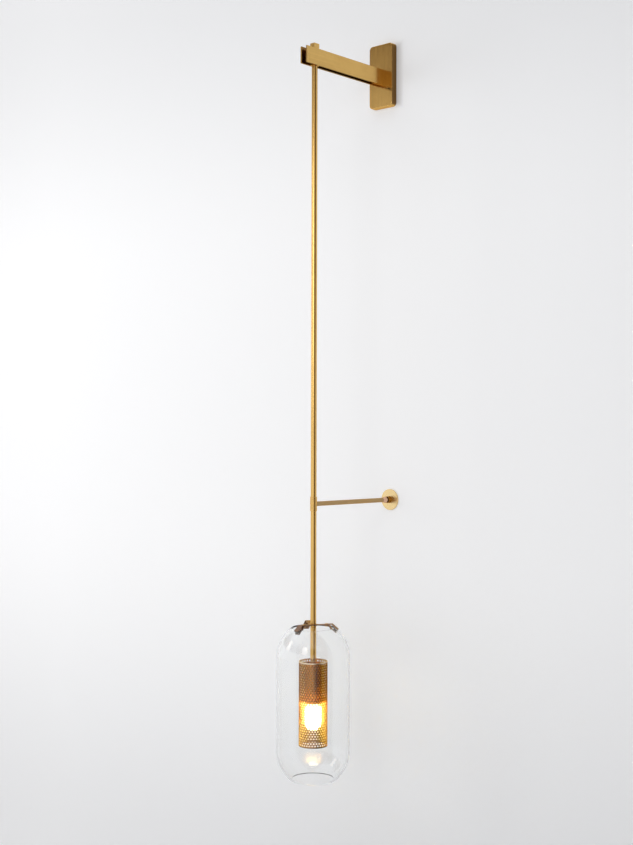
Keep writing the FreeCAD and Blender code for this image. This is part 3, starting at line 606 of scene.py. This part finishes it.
def perforatedTube():
    low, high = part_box("perforated_tube")
    outer = (high.x - low.x) / 2
    rows, count = perforation["rows"], perforation["holesRound"]
    steps = 2 * count
    rowHeight = (high.z - low.z) / rows
    cellTurn = 2 * math.pi / count
    bm = bmesh.new()

    def onTube(turn, z, radius):
        return bm.verts.new((rodX + radius * math.cos(turn), rodY + radius * math.sin(turn), z))

    skins = []
    for radius in (outer, outer - perforation["sheet"]):
        lines = []
        for row in range(rows + 1):
            z = low.z + rowHeight * row
            lines.append([onTube(cellTurn * step / 2, z, radius) for step in range(steps)])
        skins.append((radius, lines))

    angles = holeAngles(cellTurn * outer, rowHeight)
    for row in range(rows):
        for cell in range(count):
            first = 2 * cell + row % 2      # every second row is half a cell further round
            middleTurn = cellTurn * (first + 1) / 2
            middleZ = low.z + rowHeight * (row + 0.5)
            rings = []
            for slot, (radius, lines) in enumerate(skins):
                cellVerts = [lines[row][(first + step) % steps] for step in (0, 1, 2)]
                cellVerts += [lines[row + 1][(first + step) % steps] for step in (2, 1, 0)]
                ring = []
                for angle in angles:
                    across = perforation["holeRadius"] * math.cos(math.radians(angle)) / outer
                    rise = perforation["holeRadius"] * math.sin(math.radians(angle))
                    ring.append(onTube(middleTurn + across, middleZ + rise, radius))
                for index in range(6):
                    face = bm.faces.new((cellVerts[index], cellVerts[(index + 1) % 6],
                                         ring[(2 * index + 2) % 12], ring[2 * index + 1], ring[2 * index]))
                    face.material_index = slot
                rings.append(ring)
            for index in range(12):
                after = (index + 1) % 12
                face = bm.faces.new((rings[0][index], rings[0][after], rings[1][after], rings[1][index]))
                face.material_index = 1     # the walls of the holes have the inside's tone
    for row in (0, rows):
        outerLine, innerLine = skins[0][1][row], skins[1][1][row]
        for step in range(steps):
            after = (step + 1) % steps
            bm.faces.new((outerLine[step], outerLine[after], innerLine[after], innerLine[step]))
    return meshPiece("perforated_light_tube", bm, sharpAngle=40)


tube = perforatedTube()
tube.data.materials.append(tubeBrass)
tube.data.materials.append(tubeInside)
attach(tube, "rod_and_shade")
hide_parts("perforated_tube")
print("perforated tube made,", len(tube.data.polygons), "faces")


shadeGlass = {"wall": 0.003, "mouthRadius": 0.0393, "segments": 144, "arcSteps": 22, "rimSteps": 8,
              "tint": (0.985, 0.99, 0.99, 1.0), "bending": 1.48, "shine": 0.2,
              "smearScale": 60.0, "smearSpan": (0.45, 0.8), "smearRough": 0.05,
              "rippleScale": 22.0, "ripple": 0.08, "rippleDepth": 0.0006,
              "shadow": (0.95, 0.955, 0.955, 1.0)}


def shadeProfile():
    low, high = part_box("glass_shade")
    radius = (high.x - low.x) / 2
    wall = shadeGlass["wall"]
    middle = radius - wall / 2
    rimAngle = math.degrees(math.asin(shadeGlass["mouthRadius"] / middle))   # from the axis to the rim
    rimDrop = middle * math.cos(math.radians(rimAngle))
    topCentre, lowCentre = high.z - rimDrop - wall / 2, low.z + rimDrop + wall / 2
    steps, rims = shadeGlass["arcSteps"], shadeGlass["rimSteps"]
    rimRadius = middle * math.sin(math.radians(rimAngle))
    start = 90 - rimAngle
    profile = arcPoints((0, topCentre), radius, start, 0, steps)
    profile += arcPoints((0, lowCentre), radius, 0, -start, steps)
    profile += arcPoints((rimRadius, lowCentre - rimDrop), wall / 2, -start, -start - 180, rims)[1:-1]
    profile += arcPoints((0, lowCentre), radius - wall, -start, 0, steps)
    profile += arcPoints((0, topCentre), radius - wall, 0, start, steps)
    profile += arcPoints((rimRadius, topCentre + rimDrop), wall / 2, start + 180, start, rims)[1:-1]
    return profile


def clearGlass():
    material, tree, shader, place = newMaterial("clearGlass")
    shader.inputs["Base Color"].default_value = shadeGlass["tint"]
    shader.inputs["Transmission Weight"].default_value = 1.0
    shader.inputs["IOR"].default_value = shadeGlass["bending"]
    shader.inputs["Specular IOR Level"].default_value = shadeGlass["shine"]
    shader.inputs["Metallic"].default_value = 0.0
    smear = addNoise(tree, place, shadeGlass["smearScale"], detail=4.0, roughness=0.6)
    rough = addRamp(tree, smear, *shadeGlass["smearSpan"], 0.0, shadeGlass["smearRough"])
    tree.links.new(rough, shader.inputs["Roughness"])
    ripple = addNoise(tree, place, shadeGlass["rippleScale"])
    addBump(tree, shader, ripple, shadeGlass["ripple"], shadeGlass["rippleDepth"])
    # light passes straight through for shadows, so the pieces inside stay lit
    path = tree.nodes.new("ShaderNodeLightPath")
    mixClear(tree, shader, path.outputs["Is Shadow Ray"], shadeGlass["shadow"])
    return material


shade = turnProfile("glass_capsule_shade", shadeProfile(), shadeGlass["segments"], sharpAngle=60)
shade.data.materials.append(clearGlass())
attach(shade, "rod_and_shade")
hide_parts("glass_shade")
print("glass shade made")


bulbGlass = {"segments": 64, "collar": 0.0012, "shoulder": 0.009, "shoulderSteps": 10, "domeSteps": 16,
             "glow": (1.0, 0.91, 0.58, 1.0), "neckGlow": (1.0, 0.50, 0.12, 1.0), "glowStrength": 19.0,
             "tipStrength": 0.34, "neckFrom": 0.005, "neckReach": 0.013,
             "opal": (0.9, 0.88, 0.82, 1.0), "neck": (0.30, 0.13, 0.025, 1.0),
             "frostScale": 800.0, "rough": (0.25, 0.4), "bump": 0.05, "frostDepth": 0.00005}


def bulbProfile():
    low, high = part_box("bulb_glass")
    capLow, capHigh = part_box("bulb_cap")
    side = (high.x - low.x) / 2
    neck = (capHigh.x - capLow.x) / 2
    collarZ = high.z - bulbGlass["collar"]
    shoulderZ = high.z - bulbGlass["shoulder"]
    profile = [(neck, high.z), (neck, collarZ)]
    for step in range(1, bulbGlass["shoulderSteps"] + 1):
        part = step / bulbGlass["shoulderSteps"]
        ease = part * part * (3 - 2 * part)
        profile.append((neck + (side - neck) * ease, collarZ - (collarZ - shoulderZ) * part))
    profile += arcPoints((0, low.z + side), side, 0, -90, bulbGlass["domeSteps"])[:-1]
    return profile + [(0.0, low.z)]


def bulbGlow():
    material, tree, shader, place = newMaterial("bulbOpal")
    # the round end shines less than the sides, where the filaments stand, and the neck is dim and amber
    low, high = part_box("bulb_glass")
    side = (high.x - low.x) / 2
    height = splitVector(tree, place)[2]
    strength = bulbGlass["glowStrength"]
    shine = addRamp(tree, height, low.z, low.z + side, strength * bulbGlass["tipStrength"], strength)
    neckLow, neckHigh = carrierFoot - bulbGlass["neckReach"], carrierFoot - bulbGlass["neckFrom"]
    lit = addRamp(tree, height, neckLow, neckHigh, 1.0, 0.0)
    amber = addRamp(tree, height, neckLow, neckHigh)
    glow = addMix(tree, amber, bulbGlass["glow"], bulbGlass["neckGlow"])
    colour = addMix(tree, amber, bulbGlass["opal"], bulbGlass["neck"])
    tree.links.new(addMath(tree, "MULTIPLY", shine, lit), shader.inputs["Emission Strength"])
    tree.links.new(glow, shader.inputs["Emission Color"])
    tree.links.new(colour, shader.inputs["Base Color"])
    frost = addNoise(tree, place, bulbGlass["frostScale"], detail=3.0, roughness=0.6)
    tree.links.new(addRamp(tree, frost, *noiseSpan, *bulbGlass["rough"]), shader.inputs["Roughness"])
    addBump(tree, shader, frost, bulbGlass["bump"], bulbGlass["frostDepth"])
    return material


bulb = turnProfile("opal_bulb", bulbProfile(), bulbGlass["segments"], closed=False, sharpAngle=60)
bulb.data.materials.append(bulbGlow())
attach(bulb, "bulb")
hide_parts("bulb_glass")
print("bulb made")


stage = {
    "wallLeft": -3.0, "wallRight": 0.82, "wallTop": 1.6, "wallGap": 0.0006, "floorZ": -2.3,
    "floorLeft": -2.4, "floorRight": 2.0, "floorFront": -2.4, "floorBack": 2.4,
    "wallPale": (0.955, 0.975, 1.0, 1.0), "wallPaintedShade": (0.63, 0.65, 0.675, 1.0),
    "floorPale": (0.80, 0.79, 0.78, 1.0), "floorDeep": (0.74, 0.73, 0.72, 1.0),
    "rough": 0.85, "shine": 0.2, "rollerScale": 260.0, "roller": 0.04, "rollerDepth": 0.0004,
    "floorCloud": 1.5, "glow": 0.22,
    # painted shade: where the wall's paint darkens to the deeper tone as light falls off across it: from, to,
    # how much of it
    "upward": (-0.35, 0.35, 0.40), "downward": (-0.85, -1.75, 0.5), "rightward": (-1.04, 0.80, 0.55),
    # painted shadow: the soft dark tone next to the plate's right edge
    "plateShadowReach": 0.020, "plateShadowAmount": 0.34, "plateShadowShare": 0.8, "plateShadow": (0.30, 0.27, 0.24, 1.0),
}


def stagePlane(name, corners, material):
    bm = bmesh.new()
    bm.faces.new([bm.verts.new(corner) for corner in corners])
    data = bpy.data.meshes.new(name)
    bm.to_mesh(data)
    bm.free()
    plane = bpy.data.objects.new(name, data)
    plane.data.materials.append(material)
    bpy.context.scene.collection.objects.link(plane)


def wallColour(tree, place):
    # pale paint with painted shade: deeper away from the brightest spot, and a painted shadow next to the
    # plate's right edge
    x, y, z = splitVector(tree, place)

    def paintedFalloffAlong(value, key, kind="SMOOTHSTEP"):
        start, end, amount = stage[key]
        return addRamp(tree, value, start, end, 0.0, amount, kind)

    # painted shade: the wall darkens upward, downward and to the right, as light falls off
    paintedFalloff = addMath(tree, "ADD", paintedFalloffAlong(z, "upward"), paintedFalloffAlong(z, "downward"))
    paintedFalloff = addMath(tree, "ADD", paintedFalloff, paintedFalloffAlong(x, "rightward", "LINEAR"), True)
    colour = addMix(tree, paintedFalloff, stage["wallPale"], stage["wallPaintedShade"])
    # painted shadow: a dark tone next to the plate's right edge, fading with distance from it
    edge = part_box("wall_plate")[1]
    share = stage["plateShadowShare"]
    aside = addMath(tree, "SUBTRACT", x, edge.x)
    above = addMath(tree, "SUBTRACT", addMath(tree, "ABSOLUTE", z), edge.z * share)
    outside = addMath(tree, "MAXIMUM", aside, above)
    plateShadow = addRamp(tree, outside, 0.0, stage["plateShadowReach"], stage["plateShadowAmount"], 0.0)
    plateShadow = addMath(tree, "MULTIPLY", plateShadow, addRamp(tree, x, edge.x * share, edge.x))
    return addMix(tree, plateShadow, colour, stage["plateShadow"])


def stagePaint(name, isWall):
    material, tree, shader, place = newMaterial(name)
    shader.inputs["Roughness"].default_value = stage["rough"]
    shader.inputs["Specular IOR Level"].default_value = stage["shine"]
    if isWall:
        colour = wallColour(tree, place)
    else:
        cloud = addNoise(tree, place, stage["floorCloud"])
        colour = addMix(tree, cloud, stage["floorPale"], stage["floorDeep"])
    tree.links.new(colour, shader.inputs["Base Color"])
    roller = addNoise(tree, place, stage["rollerScale"], detail=4.0, roughness=0.6)
    addBump(tree, shader, roller, stage["roller"], stage["rollerDepth"])
    # the camera, metal and glass see the paint a touch paler, with no extra light on the object
    path = tree.nodes.new("ShaderNodeLightPath")
    seen = addMath(tree, "ADD", path.outputs["Is Camera Ray"], path.outputs["Is Glossy Ray"], True)
    seen = addMath(tree, "ADD", seen, path.outputs["Is Transmission Ray"], True)
    tree.links.new(addMath(tree, "MULTIPLY", seen, stage["glow"]), shader.inputs["Emission Strength"])
    tree.links.new(colour, shader.inputs["Emission Color"])
    if isWall:
        # seen from behind, the wall is clear
        geometry = tree.nodes.new("ShaderNodeNewGeometry")
        mixClear(tree, shader, geometry.outputs["Backfacing"])
    return material


def cornersOf(left, right, low, high):
    return [(stage[left], stage[low]), (stage[right], stage[low]),
            (stage[right], stage[high]), (stage[left], stage[high])]


wallCorners = [(x, stage["wallGap"], z) for x, z in cornersOf("wallLeft", "wallRight", "floorZ", "wallTop")]
floorOutline = cornersOf("floorLeft", "floorRight", "floorFront", "floorBack")
floorCorners = [(x, y, stage["floorZ"]) for x, y in floorOutline]
stagePlane("stage_wall", wallCorners, stagePaint("wallPaint", True))
stagePlane("stage_floor", floorCorners, stagePaint("floorPaint", False))
print("stage made")


worldLight = {
    "bright": (1.06, 1.06, 1.07, 1.0),     # open room, front and left
    "shade": (0.14, 0.086, 0.038, 1.0),    # dark side of the room, warm brown
    "rightFrom": 0.55, "rightTo": 1.25,    # turn to the right where the room darkens, in radians
    "rightEnd": 2.0, "rightGone": 2.4,     # and where it is bright again
    "bandLow": (0.185, 0.295), "bandHigh": (0.46, 0.70),   # height of the dark band over the light
    "bandDepth": 0.97,
    "lowFrom": -0.06, "lowTo": -0.26, "lowShade": 0.3,     # the room is a little darker below
    "plain": (0.86, 0.86, 0.87, 1.0),      # what the camera sees past the wall, also through glass
}


def makeWorld():
    # pale room light by direction: bright in front and to the left, darker far right and in a band above
    world = bpy.data.worlds.new("roomLight")
    world.use_nodes = True
    bpy.context.scene.world = world
    tree = world.node_tree
    x, y, z = splitVector(tree, tree.nodes.new("ShaderNodeTexCoord").outputs["Generated"])
    turn = addMath(tree, "ARCTAN2", x, addMath(tree, "MULTIPLY", y, -1.0))   # 0 straight out of the wall
    right = addRamp(tree, turn, worldLight["rightFrom"], worldLight["rightTo"])
    rightPast = addRamp(tree, turn, worldLight["rightEnd"], worldLight["rightGone"], 1.0, 0.0)
    right = addMath(tree, "MULTIPLY", right, rightPast)
    band = addRamp(tree, z, *worldLight["bandLow"])
    band = addMath(tree, "MULTIPLY", band, addRamp(tree, z, *worldLight["bandHigh"], 1.0, 0.0))
    band = addMath(tree, "MULTIPLY", band, worldLight["bandDepth"])
    low = addRamp(tree, z, worldLight["lowTo"], worldLight["lowFrom"], worldLight["lowShade"], 0.0)
    shade = addMath(tree, "MAXIMUM", addMath(tree, "MAXIMUM", right, band), low)
    colour = addMix(tree, shade, worldLight["bright"], worldLight["shade"])
    # what is seen straight or through glass, and not in a reflection, is plain
    path = tree.nodes.new("ShaderNodeLightPath")
    unmirrored = addMath(tree, "LESS_THAN", path.outputs["Glossy Depth"], 0.5)
    through = addMath(tree, "MULTIPLY", path.outputs["Is Transmission Ray"], unmirrored)
    seen = addMath(tree, "ADD", path.outputs["Is Camera Ray"], through, True)
    colour = addMix(tree, seen, colour, worldLight["plain"])
    tree.links.new(colour, tree.nodes["Background"].inputs["Color"])


makeWorld()

frontWindow = {"place": (0.42, -2.10, -0.17), "aim": (0.0, -0.2, -1.10), "size": (0.60, 0.80), "power": 4.6,
               "colour": (1.0, 0.995, 0.985)}
leftWindow = {"place": (-1.50, -1.36, -0.22), "aim": (0.0, -0.2, -1.05), "size": (0.40, 0.80), "power": 3.0,
              "colour": (1.0, 0.995, 0.985)}


def addLamp(name, settings):
    light = bpy.data.lights.new(name, "AREA")
    light.shape = "RECTANGLE"
    light.size, light.size_y = settings["size"]
    light.energy = settings["power"]
    light.color = settings["colour"]
    lamp = bpy.data.objects.new(name, light)
    lamp.location = settings["place"]
    aim = Vector(settings["aim"]) - Vector(settings["place"])
    lamp.rotation_euler = aim.to_track_quat("-Z", "Y").to_euler()
    bpy.context.scene.collection.objects.link(lamp)


addLamp("front_window", frontWindow)
addLamp("left_window", leftWindow)
print("light set")

# level camera, turned and rolled as in the photograph; angles in degrees, lens and sensor in millimetres
photoView = {"place": (1.5524, -1.9090, -0.6644), "pitch": 90.0, "roll": -0.145, "yaw": 42.15,
             "lens": 54.4, "sensor": 36.0}
cameraData = bpy.data.cameras.new("photoCamera")
cameraData.lens = photoView["lens"]
cameraData.sensor_width = photoView["sensor"]
camera = bpy.data.objects.new("photoCamera", cameraData)
camera.location = photoView["place"]
camera.rotation_euler = [math.radians(photoView[angle]) for angle in ("pitch", "roll", "yaw")]
bpy.context.scene.collection.objects.link(camera)
bpy.context.scene.camera = camera
bpy.context.scene.view_settings.view_transform = "Standard"
print("camera set")
